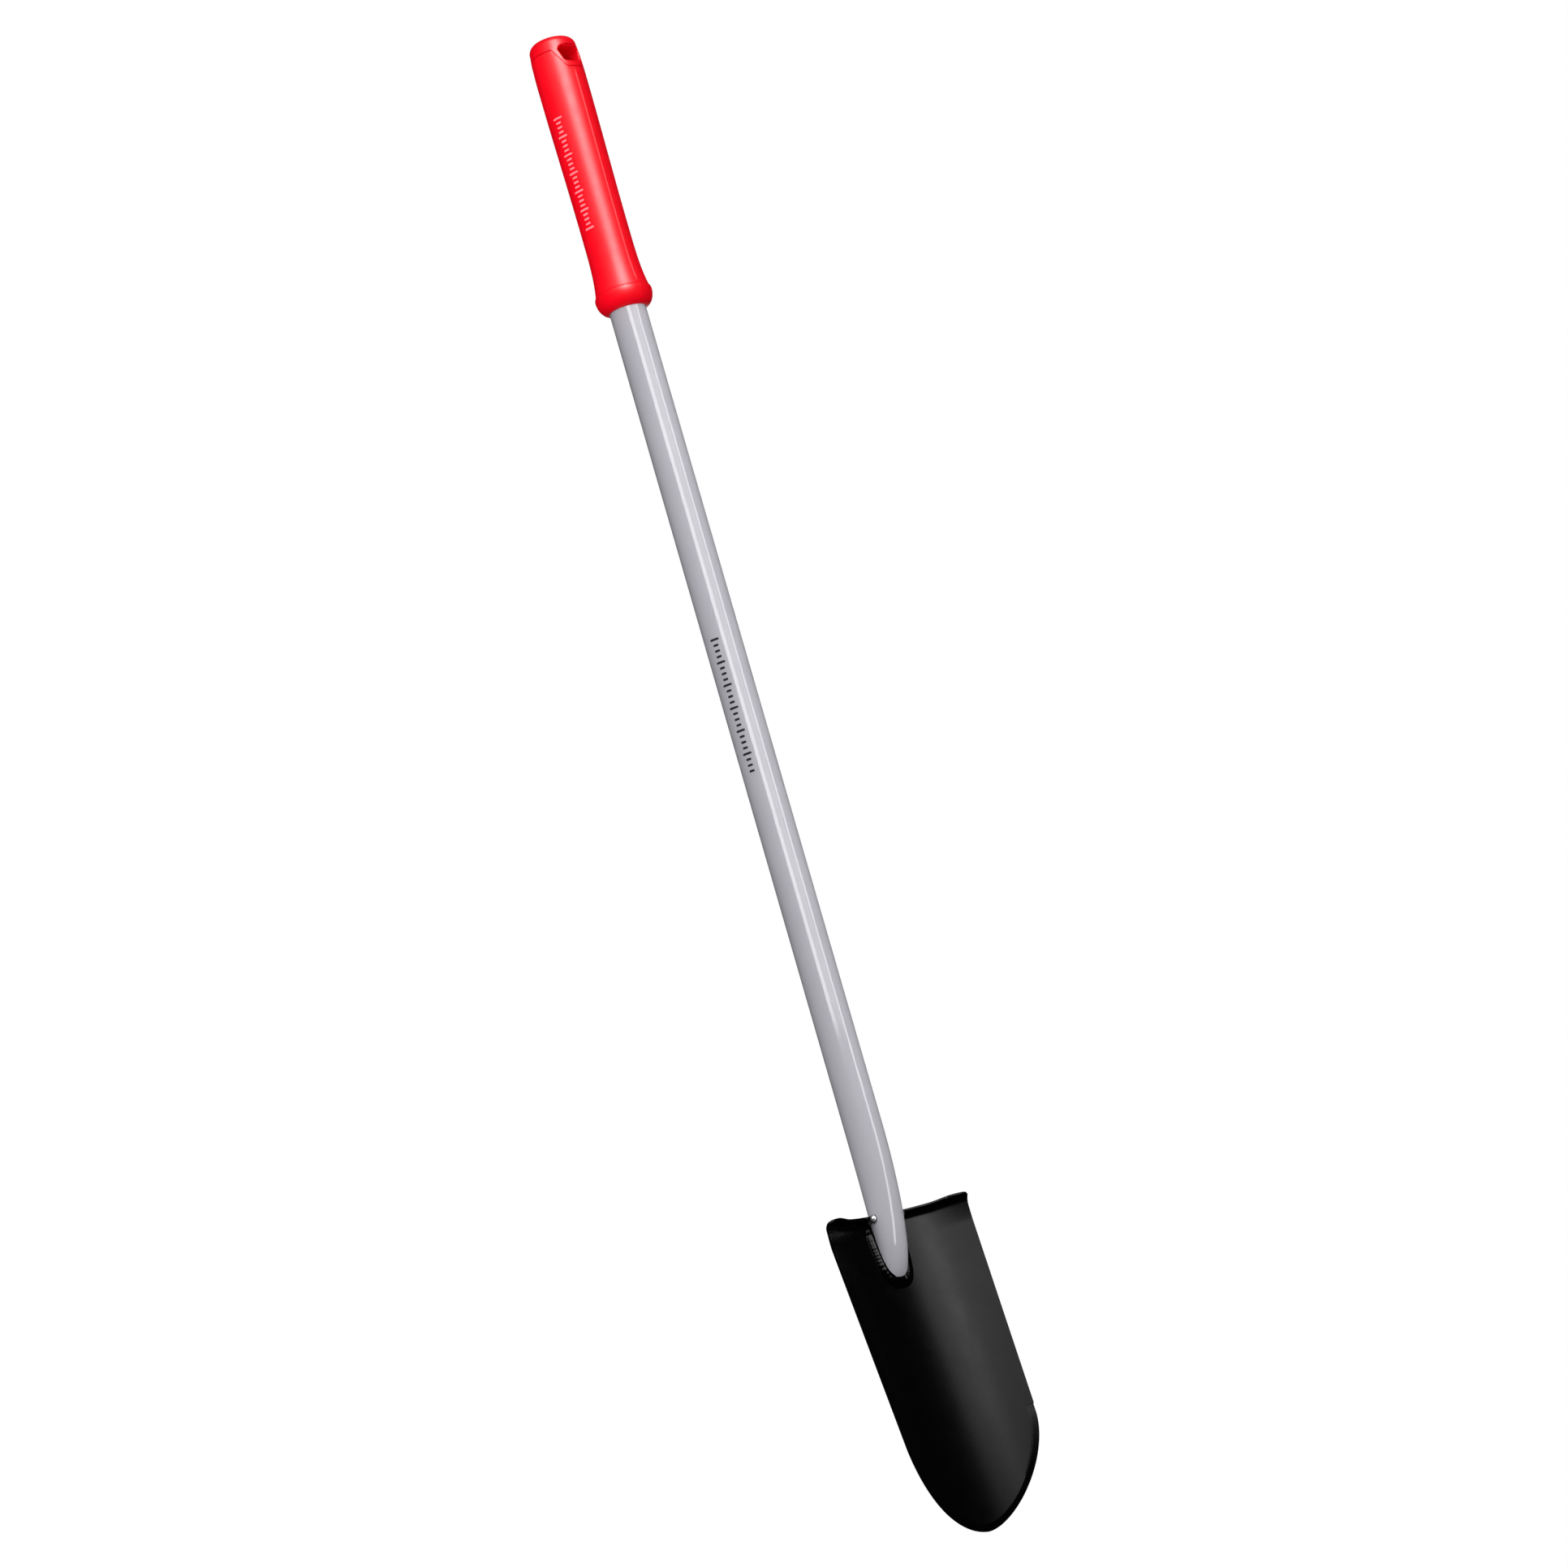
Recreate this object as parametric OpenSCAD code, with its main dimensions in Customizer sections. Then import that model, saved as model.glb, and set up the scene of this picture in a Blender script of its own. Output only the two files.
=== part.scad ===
// Round point shovel with a straight steel tube handle, a soft grip and a pressed steel blade.
// Units are millimetres. The origin is the middle of the hang slot, on the handle's axis.
// +Z runs up the handle towards the grip's end, and the blade's hollow faces -Y.

/* [Overall] */
// Length from the grip's end to the blade's point
overall_length = 1043.4; // [900:0.1:1200]
// Forward lean of the blade against the handle, in degrees
lift_angle = 5.6; // [4:0.1:7]

/* [Grip] */
// Length of the grip, end cap and collar included
grip_length = 197.6; // [170:0.1:240]
// Diameter of the grip's end cap
cap_d = 33.4; // [32:0.2:34]
// Diameter of the soft sleeve at its fullest, just below the end cap
sleeve_full_d = 34.5; // [34:0.5:38]
// Diameter of the soft sleeve at its waist
sleeve_waist_d = 32.7; // [31.5:0.1:33.5]
// Diameter of the collar at the bottom of the grip
collar_d = 40; // [37:0.5:44]
// Width of the hang slot at its upper end
slot_w = 18; // [15:0.5:20]
// Height of the hang slot
slot_h = 11; // [8:0.5:12]

/* [Handle] */
// Outer diameter of the handle tube
tube_d = 25.4; // [25:0.1:25.6]
// Wall of the handle tube
tube_wall = 1.2; // [0.9:0.1:2]
// Length of the tapered nose at the tube's lower end
nose_length = 103; // [90:1:115]

/* [Blade] */
// Length of the blade along its centre line
blade_length = 214.3; // [190:0.1:240]
// Width of the blade at its top edge, without the flare of its corners
blade_w_top = 139.4; // [130:0.1:150]
// Width of the blade where the point begins
blade_w_low = 128.4; // [120:0.1:130]
// Length of the round point
point_length = 65; // [55:1:75]
// Radius of the hollow across the blade
hollow_r = 138; // [130:1:160]
// Thickness of the blade's sheet
sheet = 1.5; // [1.2:0.1:2]
// Forward reach of the turned foot step
step_reach = 7; // [6.5:0.5:9]
// Width of the ground edge along the point
bevel_w = 4; // [2:0.5:5]

/* [Hidden] */
$fn = 120;
tube_r = tube_d / 2;
seat_gap = 0.05;                             // play between pieces that are fitted together

grip_top_z = 14.6;                           // the grip's end above the middle of the hang slot
grip_bottom_z = grip_top_z - grip_length;
collar_z = grip_bottom_z + 13;               // crease where the soft sleeve meets the collar
collar_lip_r = tube_r + 0.8;
crease_step = 0.4;                           // the sleeve ends this much inside the collar's radius
tube_top_z = grip_top_z - 26;
cap_round_r = 6;                             // rounding at the grip's end
cap_draft = 0.4;                             // the cap is this much smaller at its end, in radius
part_z = 3.5;                                // parting ring between the cap and the soft sleeve
full_z = -15;
waist_z = -125;
slot_taper = 3;                              // the slot is this much narrower at its lower end
slot_corner_r = 3;
tongue_h = 13.7;                             // how far the cap's tongue reaches below the parting ring
tongue_w_top = 29;
tongue_w_low = 14;
tongue_corner_r = 4;
core_r = 14.4;                               // outer radius of the core's hidden sleeve
pad_r = 15.2;                                // outer radius of the gel pad
pad_top_z = part_z - tongue_h - 8;
pad_bottom_z = collar_z + 22;

point_z = grip_top_z - overall_length;
blade_top_y = 10.5;                          // hollow's centre line at the blade's top edge
blade_top_z = point_z + blade_length * cos(lift_angle);
nose_tip_y = 7.2;
nose_tip_z = blade_top_z - 44.7;
nose_top_z = nose_tip_z + nose_length;
nose_press = 1.27;                           // fullness of the pressed front: 1 would make an ellipse
nose_round = 78;                             // length of the nose's rounded end, seen from the front
nose_power = 3.3;                            // bluntness of that end: 2 would make an ellipse
step_bend_r = 4;
step_turn = 80;
step_flat = (step_reach - step_bend_r * (1 - cos(step_turn))) / sin(step_turn);
step_z = -((step_bend_r + sheet) * sin(step_turn) + step_flat * cos(step_turn));
sheet_half_angle = 34;                       // wider than the outline, which trims the sheet's sides
flare = 1.3;                                 // how far each upper corner stands out to the side
flare_h = 12;                                // height over which it does so
corner_y = 18.5;                             // where the cuts across the step's corners start
corner_turn = 42;
point_power = 1.74;                          // 2 would make an elliptical point
bevel_depth = 0.8;
weld_w = 6.3;                                // width of the weld beside the tube's nose
weld_h = 3.2;                                // how far the weld stands out of the hollow
weld_top_z = -8;                             // its upper ends, below the blade's top edge
collar_bead_r = 2.3;
collar_bead_turn = 186;
reach = 60;                                  // longer than any piece is deep, for through cuts

// ---- Outlines ----

function arc(x, y, r, from, to, steps = 8) =
    [for (i = [0:steps]) let (a = from + (to - from) * i / steps) [x + r * cos(a), y + r * sin(a)]];

// A closed outline from its right half, whose last point lies on the middle line.
function mirrored(half) = concat(half, [for (i = [len(half) - 2:-1:0]) [-half[i][0], half[i][1]]]);

// A trapezium with rounded corners, hung down from y = 0.
module rounded_trapezium(w_top, w_low, h, r) {
    a = w_top / 2 - r;
    b = w_low / 2 - r;
    polygon(concat(arc(a, -r, r, 0, 90), arc(-a, -r, r, 90, 180),
                   arc(-b, r - h, r, 180, 270), arc(b, r - h, r, 270, 360)));
}

// Radius of the grip's outside at a height: fullest under the cap, a waist, then a flare to the collar.
function grip_r(z) =
    let (full = sleeve_full_d / 2, waist = sleeve_waist_d / 2, crease = collar_d / 2 - crease_step)
    z > full_z ? full - (full - cap_d / 2) * pow((z - full_z) / (part_z + 1 - full_z), 2)
    : z > waist_z ? waist + (full - waist) * (1 + cos(180 * (full_z - z) / (full_z - waist_z))) / 2
    : waist + (crease - waist) * pow((waist_z - z) / (waist_z - collar_z), 3.8);

// Half section of the whole grip, as if it were one solid.
module grip_section() {
    r_end = cap_d / 2 - cap_draft - cap_round_r;
    collar_r = collar_d / 2;
    polygon(concat(
        [[0, grip_bottom_z], [collar_lip_r, grip_bottom_z], [collar_r - 4.2, grip_bottom_z + 4.5],
         [collar_r - 1.2, grip_bottom_z + 8.5], [collar_r, collar_z - 1.6],
         [collar_r - 0.2, collar_z - 0.4]],
        [for (i = [0:40]) let (z = collar_z + (part_z - collar_z) * i / 40) [grip_r(z), z]],
        arc(r_end, grip_top_z - cap_round_r, cap_round_r, 0, 90),
        [[0, grip_top_z]]));
}

// Outline of the blade seen from the front, made smaller by inset. The top edge is on y = 0, and the
// outline runs past it, because the step's section ends the sheet there.
module blade_outline(inset = 0) {
    w = blade_w_low / 2 - inset;
    p = point_length - inset;
    straight = blade_length - point_length;
    right = [for (i = [0:24]) let (a = 90 * i / 24)
        [w * pow(cos(a), 2 / point_power), -straight - p * pow(sin(a), 2 / point_power)]];
    top = blade_w_top / 2 - inset;
    below = top - (top - w) * flare_h / straight;
    corner = [[top + flare, 5], [top + flare, -1], [top + flare / 2, -flare_h / 2], [below, -flare_h]];
    polygon(mirrored(concat(corner, right)));
}

// ---- Frames ----

// Stands an outline up in the XZ plane, as deep as through, with its middle on y = 0.
module upright(through) rotate([90, 0, 0]) linear_extrude(through, center = true) children();

// The blade's own frame: origin on the hollow's centre line at the top edge, Z along the blade.
module on_blade() translate([0, blade_top_y, blade_top_z]) rotate([-lift_angle, 0, 0]) children();

// Everything in front of a surface that lies offset behind the blade's hollow, in the blade's frame.
module in_front_of(offset) translate([0, -hollow_r, -blade_length - reach])
    cylinder(h = blade_length + 2 * reach, r = hollow_r + offset);

// ---- Handle ----

// The outside of the tube, made larger all round by grow: a cylinder whose lower end is pressed back
// from the front and rounded off to a bullet nose.
module tube_form(grow, top_z) {
    r = tube_r + grow;
    h = nose_length + grow;
    back = nose_tip_y + tube_r + grow;
    steps = 16;
    side = [for (i = [0:steps]) let (a = 90 * i / steps)
        [-r + back * (1 - pow(cos(a), nose_press)), nose_top_z - h * sin(a)]];
    round_z = nose_tip_z + nose_round;
    end = [for (i = [0:steps]) let (a = 90 * i / steps)
        [r * pow(cos(a), 2 / nose_power), round_z - (nose_round + grow) * pow(sin(a), 2 / nose_power)]];
    round_end = concat([[r + 1, top_z + 1], [r + 1, round_z]], end);
    intersection() {
        translate([0, 0, nose_tip_z - reach]) cylinder(h = top_z - nose_tip_z + reach, r = r);
        rotate([90, 0, 90]) linear_extrude(reach, center = true)
            polygon(concat([[-reach, top_z + 1], [-reach, nose_top_z]], side,
                           [[reach, nose_tip_z - grow], [reach, top_z + 1]]));
        upright(2 * reach) polygon(mirrored(round_end));
    }
}

module handle_tube() color([0.70, 0.70, 0.73]) difference() {
    tube_form(0, tube_top_z);
    tube_form(-tube_wall, tube_top_z + reach);
}

// ---- Grip ----

module grip_solid() rotate_extrude() grip_section();

// Room for the soft sleeve, made larger by grow: between the parting ring and the crease, outside the
// core's hidden sleeve and clear of the cap's tongues at the front and the back.
module soft_zone(grow = 0) difference() {
    translate([0, 0, collar_z - grow]) difference() {
        cylinder(h = part_z - collar_z + 2 * grow, r = collar_d);
        translate([0, 0, -1]) cylinder(h = part_z - collar_z + 2, r = core_r - grow);
    }
    upright(2 * reach) translate([0, part_z + 1 - grow])
        rounded_trapezium(tongue_w_top - 2 * grow, tongue_w_low - 2 * grow, tongue_h + 1, tongue_corner_r);
}

module hang_slot() upright(2 * reach) translate([0, slot_h / 2])
    rounded_trapezium(slot_w, slot_w - slot_taper, slot_h, slot_corner_r);

module grip_core() color([0.45, 0.02, 0.04]) difference() {
    grip_solid();
    soft_zone();
    hang_slot();
    translate([0, 0, grip_bottom_z - 1]) cylinder(h = tube_top_z - grip_bottom_z + 1, r = tube_r + seat_gap);
}

module pad_room(grow = 0) translate([0, 0, pad_bottom_z - grow])
    cylinder(h = pad_top_z - pad_bottom_z + 2 * grow, r = pad_r + grow);

module gel_sleeve() color([0.72, 0.03, 0.08]) difference() {
    intersection() {
        grip_solid();
        soft_zone(-seat_gap);
    }
    pad_room(seat_gap);
}

module gel_pad() color([0.85, 0.45, 0.45]) difference() {
    pad_room();
    translate([0, 0, pad_bottom_z - 1]) cylinder(h = pad_top_z - pad_bottom_z + 2, r = core_r + seat_gap);
}

// ---- Blade ----

// Half section of the sheet along the blade, with its top end turned forward into the foot step.
module sheet_section() {
    bend_x = hollow_r - step_bend_r;
    lip = [bend_x - step_flat * sin(step_turn), step_z + step_flat * cos(step_turn)];
    outside = step_bend_r + sheet;
    polygon(concat(
        [[hollow_r, -blade_length - 5]],
        arc(bend_x, step_z, step_bend_r, 0, step_turn),
        [[lip[0] + step_bend_r * cos(step_turn), lip[1] + step_bend_r * sin(step_turn)],
         [lip[0] + outside * cos(step_turn), lip[1] + outside * sin(step_turn)]],
        arc(bend_x, step_z, outside, step_turn, 0),
        [[hollow_r + sheet, -blade_length - 5]]));
}

module pressed_sheet() intersection() {
    translate([0, -hollow_r, 0]) rotate([0, 0, 90 - sheet_half_angle])
        rotate_extrude(angle = 2 * sheet_half_angle) sheet_section();
    upright(2 * reach) blade_outline();
}

// The cuts that take the step's outer corners off.
module step_corners() for (side = [-1, 1])
    translate([side * (blade_w_top / 2 + flare), -corner_y, step_z - 3]) rotate([0, 0, side * corner_turn])
        translate([-reach / 2, -reach, 0]) cube(reach);

// A ground edge along the round point, thinned from the hollow's side.
module ground_edge() difference() {
    intersection() {
        in_front_of(bevel_depth);
        upright(2 * reach) translate([-blade_w_top / 2, -blade_length - 1])
            square([blade_w_top, point_length + 1]);
    }
    upright(3 * reach) blade_outline(bevel_w);
}

// The pressed pocket that the tube's nose lies in, standing out of the blade's back.
module pocket_wall() difference() {
    tube_form(seat_gap + sheet, blade_top_z + reach);
    on_blade() {
        in_front_of(sheet / 2);
        translate([-reach, -reach, 0]) cube(2 * reach);
    }
}

module blade() color([0.08, 0.08, 0.085]) difference() {
    union() {
        on_blade() difference() {
            pressed_sheet();
            step_corners();
            ground_edge();
        }
        pocket_wall();
    }
    tube_form(seat_gap, blade_top_z + reach);
}

// ---- Welds ----

// A U round the tube's nose, on the hollow's surface.
module toe_weld() color([0.06, 0.06, 0.065]) difference() {
    intersection() {
        tube_form(weld_w, blade_top_z);
        on_blade() difference() {
            intersection() {
                in_front_of(0);
                translate([-reach, -reach, -reach]) cube([2 * reach, 2 * reach, reach + weld_top_z]);
            }
            in_front_of(-weld_h);
        }
    }
    tube_form(seat_gap, blade_top_z + reach);
}

// A bead behind the tube, on the blade's top edge where the tube crosses it.
module collar_weld() color([0.66, 0.66, 0.69]) difference() {
    intersection() {
        translate([0, 0, blade_top_z]) rotate([0, 0, 90 - collar_bead_turn / 2])
            rotate_extrude(angle = collar_bead_turn) translate([tube_r + collar_bead_r / 3, 0])
                circle(collar_bead_r, $fn = 48);
        on_blade() translate([-reach, -reach, 0]) cube(2 * reach);
    }
    translate([0, 0, blade_top_z - reach]) cylinder(h = 2 * reach, r = tube_r + seat_gap);
}

grip_core();
gel_sleeve();
gel_pad();
handle_tube();
blade();
toe_weld();
collar_weld();
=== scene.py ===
"""Round point shovel: visible pieces, materials, light and camera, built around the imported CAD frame.

The frame's origin is the middle of the hang slot, +Z runs up the handle and the blade's hollow faces -Y.
Shapes are worked out in millimetres and stored in metres.
"""
import math

import bmesh
import bpy
import numpy as np
from mathutils import Matrix, Vector


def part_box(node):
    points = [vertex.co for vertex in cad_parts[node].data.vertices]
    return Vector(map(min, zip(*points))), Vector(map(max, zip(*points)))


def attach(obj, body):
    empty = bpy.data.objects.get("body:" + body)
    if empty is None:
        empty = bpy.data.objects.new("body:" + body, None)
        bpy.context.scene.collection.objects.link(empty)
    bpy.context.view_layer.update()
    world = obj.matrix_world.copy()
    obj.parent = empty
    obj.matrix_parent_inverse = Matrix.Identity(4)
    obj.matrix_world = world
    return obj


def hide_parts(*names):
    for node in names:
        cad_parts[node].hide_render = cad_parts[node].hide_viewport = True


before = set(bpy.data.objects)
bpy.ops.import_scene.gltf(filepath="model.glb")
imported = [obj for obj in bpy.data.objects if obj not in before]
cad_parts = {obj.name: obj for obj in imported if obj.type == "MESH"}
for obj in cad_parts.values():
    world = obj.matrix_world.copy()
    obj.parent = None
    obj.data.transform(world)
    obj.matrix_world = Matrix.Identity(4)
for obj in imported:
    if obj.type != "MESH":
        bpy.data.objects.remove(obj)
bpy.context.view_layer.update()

MM = 0.001

# Handle tube, in millimetres
TUBE_R = 12.7
TUBE_WALL = 1.2
TUBE_TOP_Z = -12.0
NOSE_TOP_Z = -757.2
NOSE_LENGTH = 101.6
NOSE_TIP_Z = NOSE_TOP_Z - NOSE_LENGTH
NOSE_TIP_Y = 7.2
NOSE_PRESS = 0.635         # fullness of the pressed front: a half would make an ellipse
NOSE_ROUND = 80.0          # length of the nose's rounded end, seen from the front
NOSE_POWER = 4.4           # bluntness of that end: 2 would make an ellipse
NOSE_UNDERCUT = 10.0       # length over which the nose's back rounds off to the tip

# Grip, in millimetres
GRIP_TOP_Z = 14.6
GRIP_BOTTOM_Z = -183.0
CREASE_Z = -170.0
CAP_EDGE_R = 6.0
CAP_SIDE_R = 16.3
FULL_Z, FULL_R = -15.0, 17.25
WAIST_Z, WAIST_R = -125.0, 16.35
FLARE_Z, FLARE_R, FLARE_POWER = -173.5, 19.7, 3.6
PART_Z = 3.5               # ring where the cap meets the soft sleeve
TONGUE_Z = -10.2           # lowest edge of the cap's tongues
TONGUE_INNER, TONGUE_OUTER = 24.0, 51.5   # degrees from the middle of a tongue to its sloping edges
CORE_R = 14.4
COLLAR_R, COLLAR_FULL = 19.85, 1.15  # the collar's radius, and how full its rounded underside is
LIP_R, LIP_EDGE = 13.6, 0.4
BORE_R = TUBE_R + 0.05
PAD_ROOM_R, PAD_PLAY = 15.25, 0.1    # the hollow in the sleeve that holds the gel pad
PART_GAP = 0.28
SEAM_H, SEAM_RISE, SEAM_DROP = 0.28, 0.90, 0.07   # a seam stands up slowly on one side, sharply on the other
SEAM_TURN = -7.0           # the moulding seams lie a little off the middle of the tongues, in degrees
SLOT_W, SLOT_TAPER, SLOT_H, SLOT_CORNER, SLOT_EDGE = 18.0, 3.0, 11.0, 3.0, 1.7

# Blade, in millimetres, in its own frame: origin at the top edge, leaning forward by LIFT
LIFT = math.radians(5.6)
BLADE_Y, BLADE_Z = 10.5, -815.52
HOLLOW_R = 142.0
SHEET = 1.5
HALF_TOP, HALF_LOW = 69.3, 64.2
FLARE, FLARE_H = 0.6, 9.0   # how far the upper corners stand out, and over what height
STRAIGHT, POINT, POINT_POWER = 149.3, 65.0, 1.74
BEND_R, BEND_TURN = 4.0, math.radians(80)
STEP_REACH = 7.0
BEVEL_W, BEVEL_DEPTH = 5.0, 1.25
BEVEL_RUN = 4.5            # how far the ground edge runs on above the point
EDGE_R = 0.3
BEND_ARC = BEND_R * BEND_TURN
BEND_REACH = BEND_R * (1 - math.cos(BEND_TURN))
STEP_FLAT = (STEP_REACH - BEND_REACH) / math.sin(BEND_TURN)
BEND_START = (BEND_R + SHEET) * math.sin(BEND_TURN) + STEP_FLAT * math.cos(BEND_TURN)
CORNER_FROM, CORNER_LEAN, CORNER_DEPTH, CORNER_RISE = 32.0, 2.0, 18.0, 0.8
STEP_ROUND_FROM, STEP_END_REACH = 57.0, 0.6

# Welds, in millimetres
TOE_BEAD_W, TOE_BEAD_H = 6.0, 2.2
TOE_BEAD_TOP = 7.0         # how far below the blade's top edge the bead round the nose ends


# ---- Mesh helpers ----

def smoothstep(low, high, value):
    share = np.clip((value - low) / (high - low), 0, 1)
    return share * share * (3 - 2 * share)


def make_piece(name, points, faces, crease=35):
    """A mesh object from points in millimetres, welded where points meet, with outward normals."""
    mesh = bpy.data.meshes.new(name)
    mesh.from_pydata((np.asarray(points, float) * MM).tolist(), [], faces)
    bm = bmesh.new()
    bm.from_mesh(mesh)
    bmesh.ops.remove_doubles(bm, verts=bm.verts, dist=1e-7)
    bmesh.ops.dissolve_degenerate(bm, edges=bm.edges, dist=1e-7)
    bmesh.ops.recalc_face_normals(bm, faces=bm.faces)
    bm.to_mesh(mesh)
    bm.free()
    piece = bpy.data.objects.new(name, mesh)
    bpy.context.scene.collection.objects.link(piece)
    smooth(piece, crease)
    return piece


def smooth(piece, crease=35):
    mesh = piece.data
    mesh.polygons.foreach_set("use_smooth", [True] * len(mesh.polygons))
    mesh.set_sharp_from_angle(angle=math.radians(crease))


def grid_faces(rows, cols, first=0, wrap_rows=False, wrap_cols=False):
    """Quads of a rows x cols grid of points, whose first point has the index first."""
    faces = []
    for j in range(rows if wrap_rows else rows - 1):
        for i in range(cols if wrap_cols else cols - 1):
            a, b = j * cols + i, j * cols + (i + 1) % cols
            c = ((j + 1) % rows) * cols
            faces.append((first + a, first + b, first + c + (i + 1) % cols, first + c + i))
    return faces


def finish_piece(piece, material, slot, *nodes):
    piece.data.materials.clear()
    piece.data.materials.append(material)
    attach(piece, "root")
    if nodes:
        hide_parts(*nodes)


def bake_modifiers(piece):
    """Replaces the piece's mesh with what its modifiers make of it."""
    graph = bpy.context.evaluated_depsgraph_get()
    made = bpy.data.meshes.new_from_object(piece.evaluated_get(graph))
    piece.modifiers.clear()
    piece.data = made


def split_large_faces(piece):
    """Cuts the many-sided faces that a boolean leaves into triangles, so that none folds over another."""
    bm = bmesh.new()
    bm.from_mesh(piece.data)
    large = [face for face in bm.faces if len(face.verts) > 4]
    bmesh.ops.triangulate(bm, faces=large, quad_method="BEAUTY", ngon_method="BEAUTY")
    bm.to_mesh(piece.data)
    bm.free()


# ---- Handle tube ----

def nose_section(z, grow=0.0):
    """Middle y, half width and half depth of the tube's section at height z."""
    depth = np.clip((NOSE_TOP_Z - z) / NOSE_LENGTH, 0, 1)
    front = -TUBE_R + (NOSE_TIP_Y + TUBE_R) * (1 - (1 - depth ** 2) ** NOSE_PRESS)
    under = np.clip((NOSE_TIP_Z + NOSE_UNDERCUT - z) / NOSE_UNDERCUT, 0, 1)
    back = TUBE_R - (TUBE_R - NOSE_TIP_Y) * (1 - np.sqrt(1 - under ** 2))
    rounding = np.clip((NOSE_TIP_Z + NOSE_ROUND - z) / NOSE_ROUND, 0, 1)
    half = TUBE_R * (1 - rounding ** NOSE_POWER) ** (1 / NOSE_POWER)
    return (front + back) / 2, np.maximum(half + grow, 0), np.maximum((back - front) / 2 + grow, 0)


def tube_skin(grow, around, tip_turn):
    heights = list(np.linspace(TUBE_TOP_Z, NOSE_TOP_Z, 20)[:-1])
    heights += [NOSE_TOP_Z - NOSE_LENGTH * math.sin(a) for a in np.linspace(0, tip_turn, 72)]
    turn = np.linspace(0, 2 * math.pi, around, endpoint=False)
    rings = []
    for z in heights:
        y, half, depth = nose_section(z, grow)
        rings.append(np.stack([half * np.sin(turn), y - depth * np.cos(turn), np.full(around, z)], 1))
    return rings


def make_tube(material):
    around = 112
    outer = tube_skin(0, around, math.pi / 2)
    inner = tube_skin(-TUBE_WALL, around, math.radians(79))
    rings = outer[::-1] + inner
    points = np.concatenate(rings)
    faces = grid_faces(len(rings), around, wrap_cols=True)
    last = (len(rings) - 1) * around
    faces.append(tuple(last + i for i in range(around)))
    piece = make_piece("handle_tube_shell", points, faces)
    piece.visible_glossy = False
    finish_piece(piece, material, "tube_paint", "handle_tube")


# ---- Grip ----

def grip_r(z):
    """Outer radius of the grip at height z: cap side, full part, waist and flare."""
    z = np.asarray(z, float)
    cap = CAP_SIDE_R + (FULL_R - 0.5 - CAP_SIDE_R) * np.clip((8 - z) / (8 - PART_Z), 0, 1)
    upper = FULL_R - 0.5 * np.clip((z - FULL_Z) / (PART_Z - FULL_Z), 0, 1) ** 2
    wave = np.clip((FULL_Z - z) / (FULL_Z - WAIST_Z), 0, 1)
    middle = WAIST_R + (FULL_R - WAIST_R) * (1 + np.cos(math.pi * wave)) / 2
    flare = np.clip((WAIST_Z - z) / (WAIST_Z - FLARE_Z), 0, 1)
    lower = WAIST_R + (FLARE_R - WAIST_R) * flare ** FLARE_POWER
    return np.select([z > PART_Z, z > FULL_Z, z > WAIST_Z], [cap, upper, middle], lower)


def from_tongue(turn):
    """Degrees from the middle of the nearer tongue, at the front or at the back."""
    degrees = np.degrees(turn) % 180
    return np.minimum(degrees, 180 - degrees)


def part_height(turn):
    """Height of the parting line: low under the tongue, with a sloping side up to a rounded shoulder."""
    slope = (from_tongue(turn) - TONGUE_INNER) / (TONGUE_OUTER - TONGUE_INNER)
    rise = -smooth_max(-smooth_max(slope, 0, 0.22), -1, 0.10)
    return TONGUE_Z + (PART_Z - TONGUE_Z) * rise


def grip_turns():
    """Angles round the grip, closer together at the moulding seams."""
    fine = np.array([0, 0.25, 0.5, 0.8, 1.2, 1.8, 2.8])
    fine = np.concatenate([-fine[:0:-1], fine])
    coarse = np.arange(4.5, 177, 2.5)
    degrees = SEAM_TURN + np.concatenate([fine, coarse, 180 + fine, 180 + coarse])
    return np.radians(np.sort(degrees % 360))


def revolve(turns, radius, height):
    """Points of a turned shape, one row of points for each step of its section."""
    return np.stack([radius * np.sin(turns), -radius * np.cos(turns), height + 0 * turns], 1)


def seam(turns, radius, tall):
    """Height of the two moulding seams at each turn."""
    away = np.radians((np.degrees(turns) - SEAM_TURN + 90) % 180 - 90) * radius
    return tall * np.clip(np.minimum(1 + away / SEAM_RISE, 1 - away / SEAM_DROP), 0, 1)


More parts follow.
